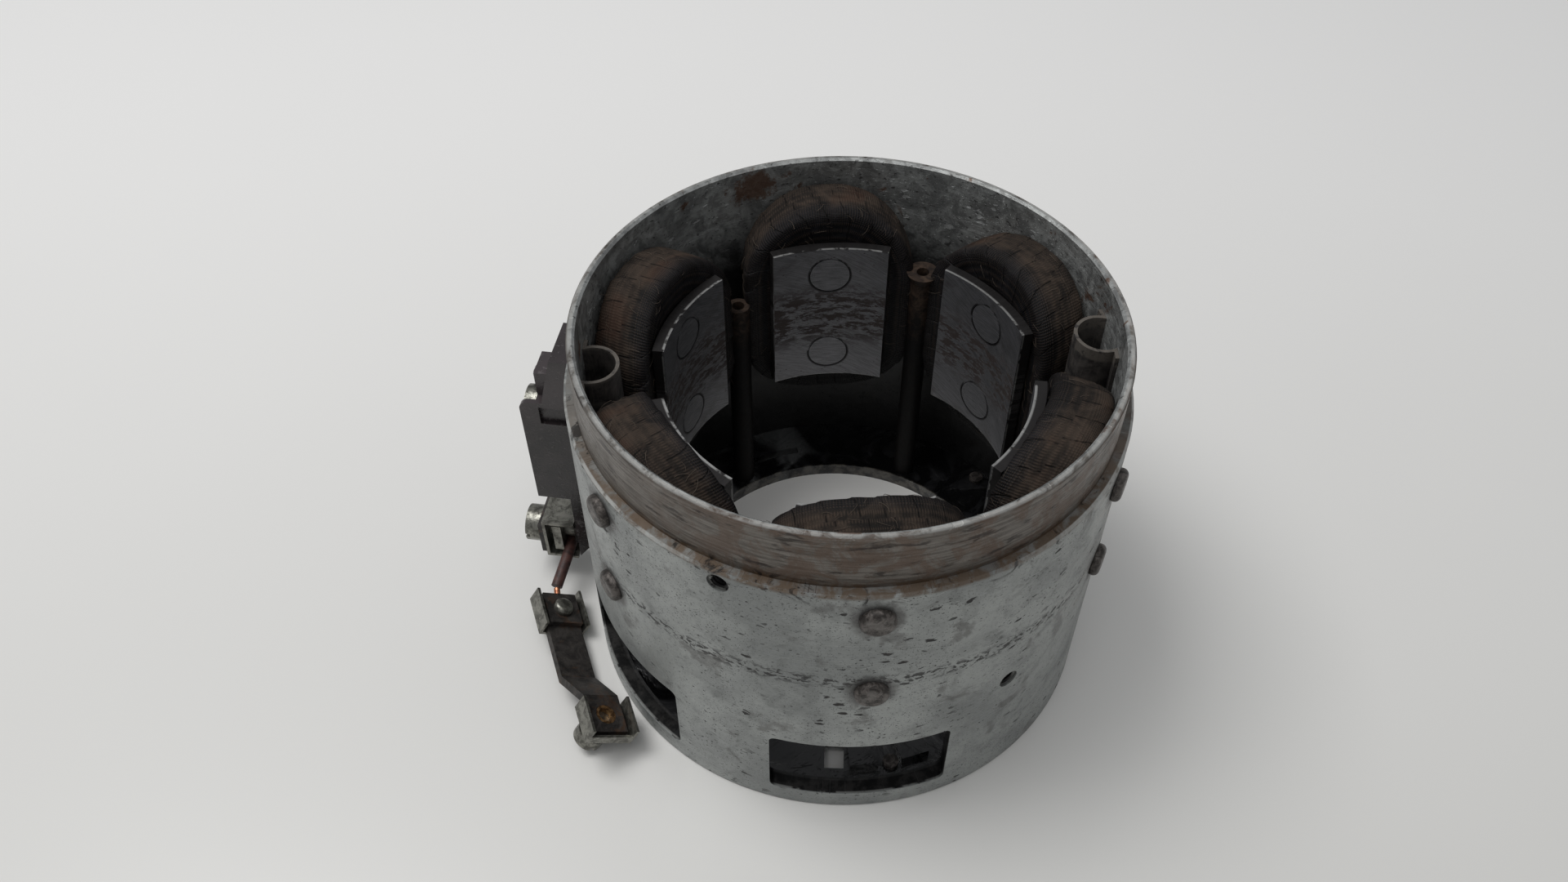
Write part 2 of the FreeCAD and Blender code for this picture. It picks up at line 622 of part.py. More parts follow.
def makeBar():
    end = "{bar_straight} + {bar_run} + {bar_end}"
    bar = padded("Bar", "XZ_Plane", [
        ("-{bar_tail}", "-{bar_thickness}"),
        ("{bar_straight} + {bar_thickness} / 3", "-{bar_thickness}"),
        ("{bar_straight} + {bar_run} + {bar_thickness} / 3", "{bar_rise} - {bar_thickness}"),
        (end, "{bar_rise} - {bar_thickness}"),
        (end, "{bar_rise}"),
        ("{bar_straight} + {bar_run}", "{bar_rise}"),
        ("{bar_straight}", "0"),
        ("-{bar_tail}", "0"),
    ], "{bar_width}")
    upper = post("{link_shank} + {hole_clearance}", "-{bar_thickness}", "{bar_thickness}")
    lower = post("{bush_bore} + {bush_wall}", "{bar_rise} - {bar_thickness}", "{bar_thickness}",
                 lowerHole)
    laid(cut(bar, upper, lower), "link_bar")


def makeLug(label, start, length, level, holeX, hasEndLip):
    """A sheet saddle under the bar, with an ear turned up beside each edge of the bar."""
    bottom = level + " - {bar_thickness} - {seat_gap} - {lug_sheet}"
    parts = [block(start, length, lugWeb, bottom, "{lug_sheet}")]
    for side in ("-(" + lugWeb + ")", lugWeb + " - {lug_sheet}"):
        ear = block(start, length, "{lug_sheet} / 2", bottom, "{lug_ear}")
        parts.append(place(ear, x=start, y=side, z=bottom))
    if hasEndLip:
        parts.append(block(start + " + " + length + " - {lug_sheet}", "{lug_sheet}", lugWeb,
                           bottom, "{lug_ear} / 2"))
    hole = post("{link_shank} + {hole_clearance}", bottom, "{lug_sheet}", holeX)
    laid(cut(fuse(*parts), hole), label)


def linkHead(top, x):
    """A slotted cheese head that hangs below the saddle."""
    bottom = "(" + top + " - {link_head_length})"
    head = post("{link_head_radius}", bottom, "{link_head_length}", x)
    groove = place(block("0", "{link_head_radius} * 4", "{driver_slot_width} / 2", "0",
                         "{driver_slot_depth}"),
                   x=x + " - {link_head_radius} * 2", y="-{driver_slot_width} / 2", z=bottom)
    return cut(head, groove)


def makeLink():
    makeBar()
    seat = "(-{bar_thickness} - {lug_sheet} - {seat_gap} * 2)"
    lowerSeat = "({bar_rise} + " + seat + ")"
    makeLug("link_upper_saddle", "-{lug_half_length}", "{lug_half_length} * 2", "0", "0", False)
    lugStart = "({bar_straight} + {bar_run} + {bar_thickness})"
    makeLug("link_lower_saddle", lugStart,
            "({bar_end} - {bar_thickness} + {lug_clearance} + {lug_sheet})",
            "{bar_rise}", lowerHole, True)
    cap = block("-{plate_half_width}", "{plate_half_width} * 2", "{plate_half_width}",
                "{seat_gap}", "{cap_thickness}")
    cap = cut(cap, post("{link_shank} + {hole_clearance}", "0", "{cap_thickness} * 2"))
    laid(cap, "link_top_plate")
    shank = post("{link_shank}", seat + " - {link_head_length} / 2",
                 "{link_tip} - " + seat + " + {link_head_length} / 2")
    doc.recompute()
    tip = size("link_tip")
    shank = rounded(shank, size("link_shank") * 0.45,
                    lambda edge: edge.Closed and middle(edge).z > tip - 0.001)
    laid(fuse(linkHead(seat, "0"), shank), "link_upper_screw")
    bush = cut(post("{bush_bore} + {bush_wall} - {seat_gap}", "{bar_rise} - {bar_thickness}",
                    "{bar_thickness}", lowerHole),
               post("{bush_bore}", "0", "{bar_rise} * 2", lowerHole))
    laid(bush, "link_bush")
    collarTop = lowerSeat
    collar = post("{link_shank}", "(" + collarTop + " - {collar_length})",
                  "{collar_length} + {lug_sheet}", lowerHole)
    laid(fuse(collar, linkHead("(" + collarTop + " - {collar_length})", lowerHole)),
         "link_lower_screw")


# ---------------------------------------------------------------- lead
def arcAt(before, corner, after):
    """The tangent arc that rounds a corner of the lead's route."""
    backwards = before - corner
    forwards = after - corner
    turn = math.pi - backwards.getAngle(forwards)
    radius = 0.45 * min(backwards.Length, forwards.Length) / math.tan(turn / 2)
    setback = radius * math.tan(turn / 2)
    backwards.normalize()
    forwards.normalize()
    start = corner + backwards * setback
    end = corner + forwards * setback
    inwards = (backwards + forwards).normalize()
    centre = corner + inwards * (radius / math.cos(turn / 2))
    midPoint = centre - inwards * radius
    return start, midPoint, end, radius


def tubeAlong(points, radius):
    edges = []
    start = points[0]
    for before, corner, after in zip(points, points[1:], points[2:]):
        arcStart, arcMiddle, arcEnd, bend = arcAt(before, corner, after)
        edges.append(Part.LineSegment(start, arcStart).toShape())
        edges.append(Part.Arc(arcStart, arcMiddle, arcEnd).toShape())
        start = arcEnd
        print("lead bend radius %.1f mm" % bend)
    edges.append(Part.LineSegment(start, points[-1]).toShape())
    path = Part.Wire(edges)
    first = points[1] - points[0]
    section = Part.Wire(Part.Circle(points[0], first, radius).toShape())
    tube = path.makePipeShell([section], True, False)
    print("lead length %.1f mm, volume %.1f against %.1f"
          % (path.Length, tube.Volume, path.Length * math.pi * radius ** 2))
    return tube


def makeLead():
    """The lead runs from under the block's clamp plate to the link's top plate."""
    spread = FreeCAD.Rotation(V(0, 0, 1), size("block_direction"))
    reach = (size("yoke_radius") + size("block_foot_depth") + size("spacer_length")
             + size("lead_radius") + 2 * size("seat_gap"))
    low = (size("lower_terminal_height") - size("terminal_shank") - size("lead_radius")
           - 1.5 * size("hole_clearance"))
    innerEnd = spread.multVec(V(reach, -1.0, low))
    outside = spread.multVec(V(reach, size("saddle_half_length") + 1.5, low))
    tail = size("bar_tail") + 2.4
    linkEnd = linkPlacement.multVec(V(-tail, 0, size("lead_radius")))
    insulation = doc.addObject("Part::Feature", "Lead")
    insulation.Shape = tubeAlong([innerEnd, outside, linkEnd], size("lead_radius"))
    keep(insulation, "lead")
    copperStart = spread.multVec(V(reach, -size("saddle_half_length"), low))
    strands = doc.addObject("Part::Feature", "Strands")
    capBack = linkPlacement.multVec(V(-size("plate_half_width") - 0.4, 0, size("lead_core")))
    bareStart = linkEnd + (capBack - linkEnd) * 0.25
    strands.Shape = Part.makeCompound([
        Part.makeCylinder(size("lead_core"), (innerEnd - copperStart).Length, copperStart,
                          innerEnd - copperStart),
        Part.makeCylinder(size("lead_core"), (capBack - bareStart).Length, bareStart,
                          capBack - bareStart)])
    keep(strands, "lead_strands")


# ---------------------------------------------------------------- build
makeYoke()
for number, angle in enumerate(poleAngles, start=1):
    makePole(number, angle)
    makeCoil(number, angle)
group("pole_rivets", [makeRivet(height, angle) for angle in poleAngles for height in rivetHeights])
makeEndRing()
makeRingRivets()
makeTube("left_bolt_tube", "left_tube_top", False, poleAngles[0] + 30)
makeTube("right_bolt_tube", "right_tube_top", True, poleAngles[0] - 30)
makeStrip("left_insulation_strip", "left_strip_top", poleAngles[1] + 30)
makeStrip("right_insulation_strip", "right_strip_top", poleAngles[4] + 30)
makeBlock()
makeTerminals()
makeLink()
makeLead()
doc.recompute()

# ---------------------------------------------------------------- check and write
for item in doc.Objects:
    if "Invalid" in item.State or "Error" in item.State:
        raise RuntimeError("%s (%s) failed: %s" % (item.Name, item.Label, item.State))
os.makedirs("parts", exist_ok=True)
for item in nodes:
    if item.Shape.isNull() or not item.Shape.isValid():
        raise RuntimeError(item.Label + " has no valid shape")
    print("%-24s %2d solids %10.1f mm3" % (item.Label, len(item.Shape.Solids), item.Shape.Volume))
for item in nodes:
    item.Shape.exportStep("parts/%s.step" % item.Label)
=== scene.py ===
import bmesh
import bpy
import json
import math
import random
from mathutils import Matrix, Vector


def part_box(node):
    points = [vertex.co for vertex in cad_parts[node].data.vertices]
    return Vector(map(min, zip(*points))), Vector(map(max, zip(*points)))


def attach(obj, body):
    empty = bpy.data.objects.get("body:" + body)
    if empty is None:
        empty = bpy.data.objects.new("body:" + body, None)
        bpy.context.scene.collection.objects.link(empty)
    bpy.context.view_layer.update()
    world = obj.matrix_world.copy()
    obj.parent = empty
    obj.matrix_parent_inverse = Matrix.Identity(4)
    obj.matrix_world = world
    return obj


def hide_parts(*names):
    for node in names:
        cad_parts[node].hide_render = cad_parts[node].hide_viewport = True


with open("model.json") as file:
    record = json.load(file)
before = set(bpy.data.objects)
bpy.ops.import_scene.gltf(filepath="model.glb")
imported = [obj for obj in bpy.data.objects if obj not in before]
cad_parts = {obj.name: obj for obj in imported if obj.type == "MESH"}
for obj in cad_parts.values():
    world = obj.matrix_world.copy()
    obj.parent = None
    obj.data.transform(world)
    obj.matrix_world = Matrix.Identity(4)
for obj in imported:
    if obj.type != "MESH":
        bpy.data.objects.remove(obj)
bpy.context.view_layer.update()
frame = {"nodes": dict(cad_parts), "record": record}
nodes = frame["nodes"]
mm = 0.001


# a node's lowest and highest corners, in millimetres
def boxOf(node):
    return [[value / mm for value in corner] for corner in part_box(node)]


# sizes in millimetres and turns in degrees, for the yoke and the pole pieces in it
yokeLow, yokeHigh = boxOf("yoke")
poleLow, poleHigh = boxOf("pole_piece_1")
yoke = {
    "radius": (yokeHigh[0] - yokeLow[0]) / 2, "top": yokeHigh[2], "step": yokeHigh[2] - 16.5,
    "bore": 65.4, "pitLine": 59.5, "stain": (-24.0, 103.0),
}
pole = {
    "middle": (poleLow[2] + poleHigh[2]) / 2, "halfLength": (poleHigh[2] - poleLow[2]) / 2,
    "face": 46.1, "back": 49.1, "turn": 3.7, "rivetSpacing": 28.6, "rivetGap": 5.65,
}


def toLinear(value):
    value = value / 255
    return value / 12.92 if value <= 0.04045 else ((value + 0.055) / 1.055) ** 2.4


def tone(red, green, blue):
    return (toLinear(red), toLinear(green), toLinear(blue), 1.0)


# A Sock stands for one output in a node tree, and ordinary arithmetic works on it.
class Sock:
    def __init__(self, paint, output):
        self.paint = paint
        self.output = output

    def maths(self, operation, *others):
        return self.paint.add("ShaderNodeMath", [self, *others], operation=operation)

    def reflected(self, operation, other):
        return self.paint.add("ShaderNodeMath", [other, self], operation=operation)

    def __add__(self, other):
        return self.maths("ADD", other)

    def __radd__(self, other):
        return self.reflected("ADD", other)

    def __sub__(self, other):
        return self.maths("SUBTRACT", other)

    def __rsub__(self, other):
        return self.reflected("SUBTRACT", other)

    def __mul__(self, other):
        return self.maths("MULTIPLY", other)

    def __rmul__(self, other):
        return self.reflected("MULTIPLY", other)

    def __truediv__(self, other):
        return self.maths("DIVIDE", other)

    def __rtruediv__(self, other):
        return self.reflected("DIVIDE", other)

    def __abs__(self):
        return self.maths("ABSOLUTE")

    def __pow__(self, other):
        return self.maths("POWER", other)


# A Paint is one material. Its point, x, y and z are in millimetres on the part.
class Paint:
    def __init__(self, name):
        self.material = bpy.data.materials.new(name)
        self.material.use_nodes = True
        self.tree = self.material.node_tree
        self.shader = self.tree.nodes["Principled BSDF"]
        place = self.add("ShaderNodeTexCoord", [], out="Object")
        self.point = self.vectorMath("MULTIPLY", place, (1 / mm,) * 3)
        self.x, self.y, self.z = self.split("ShaderNodeSeparateXYZ", self.point)

    # any node: its settings first, then its inputs in order or by name
    def add(self, kind, inputs, out=0, **settings):
        node = self.tree.nodes.new(kind)
        for name, value in settings.items():
            setattr(node, name, value)
        pairs = inputs.items() if isinstance(inputs, dict) else enumerate(inputs)
        for key, value in pairs:
            if isinstance(value, Sock):
                self.tree.links.new(value.output, node.inputs[key])
            else:
                node.inputs[key].default_value = value
        return Sock(self, node.outputs[out])

    def split(self, kind, source):
        first = self.add(kind, [source])
        return [Sock(self, output) for output in first.output.node.outputs]

    def vectorMath(self, operation, first, second):
        return self.add("ShaderNodeVectorMath", [first, second], operation=operation)

    def vector(self, x, y, z):
        return self.add("ShaderNodeCombineXYZ", [x, y, z])

    def noise(self, scale, detail=4.0, roughness=0.55, distortion=0.0, at=None):
        return self.add("ShaderNodeTexNoise", {"Vector": at or self.point, "Scale": scale, "Detail": detail,
                                               "Roughness": roughness, "Distortion": distortion}, out="Fac")

    # separate specks: one in each of a share of the cells, uneven in size and outline
    def specks(self, place, scale, share, size):
        ragged = self.add("ShaderNodeTexNoise", {"Vector": place, "Scale": scale * 1.6, "Detail": 3.0},
                          out="Color")
        shift = self.vectorMath("SUBTRACT", ragged, (0.5,) * 3)
        shift = self.vectorMath("MULTIPLY", shift, (0.9 / scale,) * 3)
        place = self.vectorMath("ADD", place, shift)
        away = self.add("ShaderNodeTexVoronoi", {"Vector": place, "Scale": scale}, out="Distance")
        chance = self.add("ShaderNodeTexVoronoi", {"Vector": place, "Scale": scale}, out="Color")
        pick, spread = self.split("ShaderNodeSeparateColor", chance)[:2]
        reach = size * (0.35 + spread * 0.65)
        return self.step(away - reach, 0.05, -0.03) * self.step(pick, share + 0.01, share - 0.01)

    # 0 below low, 1 above high, smooth between; low above high gives the reverse
    def step(self, value, low, high):
        return self.add("ShaderNodeMapRange", {"Value": value, "From Min": low, "From Max": high},
                        interpolation_type="SMOOTHSTEP")

    def band(self, value, middle, half, soft):
        return self.step(abs(value - middle), half + soft, half)

    def blend(self, share, first, second):
        return self.add("ShaderNodeMix", {0: share, 6: first, 7: second}, out=2, data_type="RGBA")

    def between(self, share, first, second):
        return first + share * (second - first)

    def largest(self, masks):
        result = masks[0]
        for mask in masks[1:]:
            result = result.maths("MAXIMUM", mask)
        return result

    @property
    def radius(self):
        return (self.x * self.x + self.y * self.y) ** 0.5

    @property
    def angle(self):
        return self.add("ShaderNodeMath", [self.y, self.x], operation="ARCTAN2")

    # the wall laid flat, stretched by so much across and up
    def unrolled(self, across, up, depth=0.0):
        return self.vector(self.angle * across, self.z * up, depth)

    # height above each row of rivets, and distance from the nearest rivet in it
    def rivetRows(self, radius):
        sixth = math.pi / 3
        turn = (self.angle - math.radians(pole["turn"])) / sixth
        across = (turn - turn.maths("FLOOR") - 0.5) * (sixth * radius)
        rows = []
        for side in (-0.5, 0.5):
            up = self.z - (pole["middle"] + side * pole["rivetSpacing"])
            rows.append((up, (across * across + up * up) ** 0.5))
        return rows

    def bumped(self, height, distance, strength):
        return self.add("ShaderNodeBump", {"Height": height, "Strength": strength, "Distance": distance},
                        out="Normal")

    def finish(self, color, roughness, metallic=0.0, normal=None, **constants):
        inputs = {"Base Color": color, "Roughness": roughness, "Metallic": metallic, "Normal": normal}
        inputs.update({name.replace("_", " "): value for name, value in constants.items()})
        for name, value in inputs.items():
            if isinstance(value, Sock):
                self.tree.links.new(value.output, self.shader.inputs[name])
            elif value is not None:
                self.shader.inputs[name].default_value = value
        return self.material


# the near black of painted shade, deep inside the yoke and behind the pole pieces
paintedShade = tone(9, 9, 10)
# the heights, from the top down, between which each inner surface is darkened to black as painted shade
shadeDepths = {
    "bore": (98.0, 74.0), "tape": (86.0, 62.0), "coilFoot": (64.0, 48.0), "strip": (88.0, 62.0),
    "tube": (88.0, 68.0),
}


# cool grey with broad clouds, fine grain and light scratches lying two ways
def yokeGrey(p, mottle, fine):
    broad = p.noise(0.035, 5, 0.6)
    ground = p.noise(1.0, 3, 0.6, 0.0, p.unrolled(1.6, 5.0))
    grey = p.blend(p.step(broad, 0.36, 0.66), tone(130, 133, 132), tone(160, 163, 161))
    grey = p.blend(p.step(mottle, 0.5, 0.72) * 0.4, grey, tone(116, 118, 116))
    grey = p.blend(p.step(fine, 0.5, 0.78) * 0.4, grey, tone(98, 99, 97))
    grey = p.blend(p.step(ground, 0.48, 0.72) * 0.35, grey, tone(168, 171, 169))
    scratches = []
    aroundWall = p.angle * yoke["radius"]
    for lean in (0.35, -0.2):
        lying = p.vector(aroundWall * 0.16 + p.z * (lean * 0.16), (p.z - aroundWall * lean) * 2.6, 0.0)
        scratches.append(p.step(p.noise(1.0, 3, 0.5, 0.0, lying), 0.66, 0.72) * p.step(mottle, 0.42, 0.6))
    return p.blend(p.largest(scratches) * 0.5, grey, tone(198, 200, 198))


# pits, wider than they are tall, and a broken line of them round the front
def yokePits(p):
    pits = p.specks(p.unrolled(24.0, 0.7), 0.62, 0.34, 0.3)
    smallPits = p.specks(p.unrolled(42.0, 1.0), 1.15, 0.55, 0.25)
    tinyPits = p.specks(p.unrolled(60.0, 1.0), 2.3, 0.65, 0.28)
    crowd = p.step(p.noise(0.045, 3, 0.55), 0.4, 0.56)
    thick = p.step(p.noise(0.11, 3, 0.55), 0.42, 0.6)
    broken = p.step(p.noise(1.3, 3, 0.6, 0.5, p.unrolled(26.0, 0.62)), 0.5, 0.58)
    line = p.band(p.z, yoke["pitLine"], 0.7, 2.6) * broken * p.step(p.y, -20.0, -48.0)
    return p.largest([pits * crowd, line * 0.9, smallPits * p.between(thick, 0.4, 0.95),
                      tinyPits * p.between(crowd, 0.45, 0.9)])


# the register: turned, browner, rusty towards the front and right
def yokeRegister(p, streak):
    brown = p.blend(p.step(streak, 0.3, 0.66), tone(80, 75, 70), tone(124, 119, 113))
    rustPatch = p.step(p.noise(0.13, 6, 0.7, 0.8), 0.43, 0.58) * p.step(p.x - p.y, -20.0, 50.0)
    brown = p.blend(rustPatch * 0.65, brown, tone(92, 72, 59))
    stain = p.step(p.noise(0.5, 4, 0.6, 0.3, p.unrolled(14.0, 0.8)), 0.56, 0.66)
    return p.blend(stain * 0.8, brown, tone(42, 34, 31))


# the bore: blotched grey near the rim, corroded, then painted shade turns it black lower down
def yokeBore(p, mottle, depth):
    bore = p.blend(p.step(mottle, 0.36, 0.62), tone(128, 129, 128), tone(176, 178, 176))
    bore = p.blend(p.step(p.noise(0.16, 6, 0.6, 0.3), 0.54, 0.66) * 0.5, bore, tone(76, 73, 70))
    spots = p.step(p.noise(1.0, 4, 0.6, 0.3, p.unrolled(34.0, 0.8)), 0.6, 0.66)
    bore = p.blend(spots * 0.7, bore, tone(44, 40, 38))
    aside, above = p.x - yoke["stain"][0], p.z - yoke["stain"][1]
    away = (aside * aside + above * above * 2.0) ** 0.5
    stain = p.step(away + (p.noise(0.4, 5, 0.7) - 0.5) * 16.0, 7.5, 4.0) * p.step(p.y, 0.0, 10.0)
    bore = p.blend(stain * 0.8, bore, tone(104, 72, 50))
    bloom = p.step(p.noise(0.3, 6, 0.75, 0.5), 0.6, 0.7) * p.step(p.x, 0.0, 40.0)
    bore = p.blend(bloom * 0.8, bore, tone(176, 178, 176))
    bore = p.blend(p.step(p.noise(0.1, 4, 0.6, 0.6), 0.62, 0.68) * 0.8, bore, tone(98, 66, 46))
    return p.blend(depth * 0.97, bore, tone(11, 11, 12))


def yokeMaterial():
    p = Paint("yoke steel")
    radius = p.radius
    mottle = p.noise(0.16, 6, 0.65, 0.6)
    fine = p.noise(1.1, 4, 0.6)
    streak = p.noise(1.0, 5, 0.62, 0.0, p.unrolled(6.0, 1.4))
    inside = p.step(radius, yoke["bore"] + 1.0, yoke["bore"] + 0.6)
    spigot = p.step(p.z, yoke["step"] - 0.1, yoke["step"] + 0.1)
    ledge = p.band(p.z, yoke["step"], 0.35, 1.3)
    dirt = yokePits(p)
    # a dull halo round each riveted head
    halos = p.largest([p.step(away + (p.noise(0.5, 4, 0.6) - 0.5) * 3.6, 7.6, 4.2)
                       for up, away in p.rivetRows(yoke["radius"])])
    wall = p.blend(dirt, yokeGrey(p, mottle, fine), tone(44, 42, 41))
    wall = p.blend(halos * 0.8, wall, tone(56, 52, 50))
    # rust on the right-hand side, stronger higher up, and dull patches all round
    rusty = p.step(streak, 0.5, 0.66) * p.step(p.x, 46.0, 66.0) * p.step(p.z, 30.0, 60.0)
    wall = p.blend(rusty * 0.6, wall, tone(96, 62, 40))
    wall = p.blend(p.step(p.noise(0.075, 5, 0.6, 0.3), 0.57, 0.66) * 0.55, wall, tone(84, 82, 80))
    outer = p.blend(spigot, wall, yokeRegister(p, streak))
    # the ledge holds rust at the front, and black scale in places
    ledgeRust = p.step(p.noise(0.22, 5, 0.65, 0.5), 0.36, 0.55) * p.step(p.y, 10.0, -50.0)
    outer = p.blend(ledge * ledgeRust * 0.75, outer, tone(98, 78, 58))
    scale = p.band(p.z, yoke["step"] - 0.6, 1.0, 2.6) * p.step(p.noise(0.13, 5, 0.7, 1.2), 0.56, 0.64)
    outer = p.blend(scale * 0.85, outer, tone(34, 32, 31))
    # bright edges where the turned corners are rubbed
    sides = p.step(radius, yoke["radius"] - 0.8, yoke["radius"] - 0.5) * p.step(abs(p.x), 26.0, 56.0)
    corner = p.band(p.z, yoke["step"] - 0.35, 0.25, 0.3) * sides
    rim = p.step(p.z, yoke["top"] - 0.5, yoke["top"] - 0.1) * 0.8
    rub = (corner + rim).maths("MINIMUM", 1.0) * p.step(mottle, 0.36, 0.52)
    outer = p.blend(rub * 0.7, outer, tone(198, 199, 196))
    # painted shade: the bore turns black deeper inside
    depth = p.step(p.z + (mottle - 0.5) * 20.0, *shadeDepths["bore"])
    color = p.blend(inside, outer, yokeBore(p, mottle, depth))
    # painted shade makes the cut faces of the windows and holes nearly black, with a painted highlight along
    # the outer edge
    cut = p.step(radius, yoke["radius"] - 0.15, yoke["radius"] - 0.4) \
        * p.step(radius, yoke["bore"] + 0.1, yoke["bore"] + 0.4) \
        * p.step(p.z, yoke["step"] - 0.8, yoke["step"] - 1.2)
    shadedCutFace = p.blend(p.step(p.noise(0.35, 5, 0.6), 0.42, 0.62), tone(12, 12, 12), tone(42, 41, 40))
    outerEdgeHighlight = p.step(radius, yoke["radius"] - 0.9, yoke["radius"] - 0.5) * p.step(mottle, 0.4, 0.5)
    color = p.blend(cut, color, p.blend(outerEdgeHighlight * 0.7, shadedCutFace, tone(140, 141, 138)))
    rough = p.between(p.step(mottle, 0.4, 0.7), 0.38, 0.55) + dirt * 0.25 + ledge * 0.2
    metal = 0.62 - dirt * 0.5 - halos * 0.3 - inside * depth * 0.6 - rusty * 0.4
    height = fine * 0.25 + mottle * 0.5 - dirt * 0.9 - halos * 0.2 + streak * spigot * 0.6
    return p.finish(color, rough, metal, p.bumped(height, 0.00025, 0.6))


def poleMaterial():
    p = Paint("pole steel")
    radius = p.radius
    aroundFace = p.angle * (pole["face"] - 0.1)
    slanted = p.vector(aroundFace * 0.9 + p.z * 0.42, p.z * 0.9 - aroundFace * 0.42, radius * 0.2)
    scratch = p.noise(1.0, 4, 0.65, 0.0, p.vectorMath("MULTIPLY", slanted, (0.22, 4.2, 1.0)))
    cloud = p.noise(0.11, 5, 0.65, 0.8)
    color = p.blend(p.step(scratch, 0.34, 0.66), tone(100, 100, 103), tone(132, 132, 135))
    color = p.blend(p.step(cloud, 0.5, 0.72) * 0.6, color, tone(92, 90, 91))
    # rust across the middle and a few stray specks
    rust = p.step(p.noise(1.0, 8, 0.72, 0.2, p.unrolled(9.0, 0.5, 3.0)), 0.47, 0.53)
    rust = rust * p.band(p.z, pole["middle"], 5.0, 9.0)
    stray = p.specks(p.unrolled(30.0, 0.9), 1.7, 0.16, 0.28)
    color = p.blend(rust * 0.9, color, tone(50, 38, 33))
    color = p.blend(stray * 0.8, color, tone(40, 34, 31))
    # a dark line round the flush end of each rivet
    rings = p.largest([p.band(away, pole["rivetGap"], 0.3, 0.4)
                       * p.step(p.noise(0.3, 3, 0.5) - up * 0.02, 0.34, 0.46)
                       for up, away in p.rivetRows(pole["face"] + 0.1)])
    color = p.blend(rings * 0.9, color, tone(22, 20, 20))
    # the cut edges are dark, with a bright line where the corner is rubbed
    ends = p.step(abs(p.z - pole["middle"]), pole["halfLength"] - 0.15, pole["halfLength"] - 0.05)
    edges = (p.step(radius, pole["face"] + 0.15, pole["face"] + 0.4) + ends).maths("MINIMUM", 1.0)
    worn = p.step(p.noise(0.25, 3), 0.4, 0.5)
    corner = edges * p.step(radius, pole["face"] + 0.8, pole["face"] + 0.4) * worn
    color = p.blend(edges, color, tone(50, 48, 48))
    color = p.blend(corner * 0.8, color, tone(178, 178, 176))
    # painted shade: the back of each pole piece, towards the wall, is near black
    behind = p.step(radius, pole["back"] - 0.2, pole["back"] + 0.3)
    color = p.blend(behind, color, paintedShade)
    rough = p.between(p.step(scratch, 0.3, 0.7), 0.36, 0.5) + rust * 0.3
    metal = 0.72 - rust * 0.5 - stray * 0.4 - behind * 0.4
    return p.finish(color, rough, metal, p.bumped(scratch * 0.6 - rust - stray, 0.00012, 0.5))


# flush and scratched on the pole faces, dark and domed outside
def rivetMaterial():
    p = Paint("rivet steel")
    radius = p.radius
    grain = p.noise(0.6, 6, 0.7, 0.6)
    face = p.step(radius, pole["back"] + 0.9, pole["back"] - 0.1)
    head = p.blend(p.step(grain, 0.4, 0.66), tone(50, 46, 43), tone(104, 98, 94))
    scratch = p.noise(1.0, 4, 0.65, 0.0, p.unrolled(9.0, 3.6))
    flush = p.blend(p.step(scratch, 0.34, 0.66), tone(100, 100, 103), tone(136, 136, 139))
    color = p.blend(face, head, flush)
    crown = p.step(radius, yoke["radius"] + 1.6, yoke["radius"] + 2.2) * p.step(p.noise(0.4, 4), 0.42, 0.6)
    color = p.blend(crown * 0.5, color, tone(140, 136, 132))
    return p.finish(color, 0.5 - face * 0.08, 0.45 + face * 0.25, p.bumped(grain, 0.0003, 0.6))


ring = {"hole": 47.0}


# black with grease, with a painted reflection on the smears at the back left
def ringMaterial():
    p = Paint("oily steel")
    smear = p.noise(0.06, 3, 0.5, 2.2)
    wisp = p.noise(0.05, 3, 0.45, 1.4)
    color = p.blend(p.step(smear, 0.46, 0.66), tone(10, 10, 11), tone(26, 26, 28))
    paintedReflection = p.step(wisp, 0.46, 0.66) * p.step(p.x, 10.0, -22.0) * p.step(p.y, 0.0, 20.0)
    color = p.blend(paintedReflection * 0.7, color, tone(112, 114, 114))
    # painted highlight along the edge of the hole
    lipHighlight = p.step(p.radius, ring["hole"] + 0.6, ring["hole"] + 0.1) * p.step(p.noise(0.3, 4), 0.4, 0.62)
    color = p.blend(lipHighlight * 0.6, color, tone(112, 108, 100))
    rough = p.between(p.step(smear, 0.4, 0.65), 0.16, 0.42)
    return p.finish(color, rough, 0.25, p.bumped(smear + wisp * 0.6, 0.0016, 0.7), Coat_Weight=0.5,
                    Coat_Roughness=0.12)


# Each coil is a flat rounded bundle led round the pole's core and bent to the wall. The
# tape is lapped at a slant and stands up a little at each turn; lap, lump and wave are
# shares of the bundle's half thickness.
tape = {"pitch": 5.2, "lean": 0.22, "rib": 0.62, "cross": 0.5, "lap": 0.03, "lump": 0.014, "wave": 0.012}
coil = {
    "halfWidth": 24.0, "halfLength": 33.2, "coreHalfWidth": 9.0, "coreHalfLength": 20.3,
    "front": 49.6, "back": 64.9, "endRadius": 14.2, "frontSquareness": 5.6, "backSquareness": 4.4,
    "tapeRadius": 6.6, "alongCount": 300, "aroundCount": 56, "seed": 40,
}


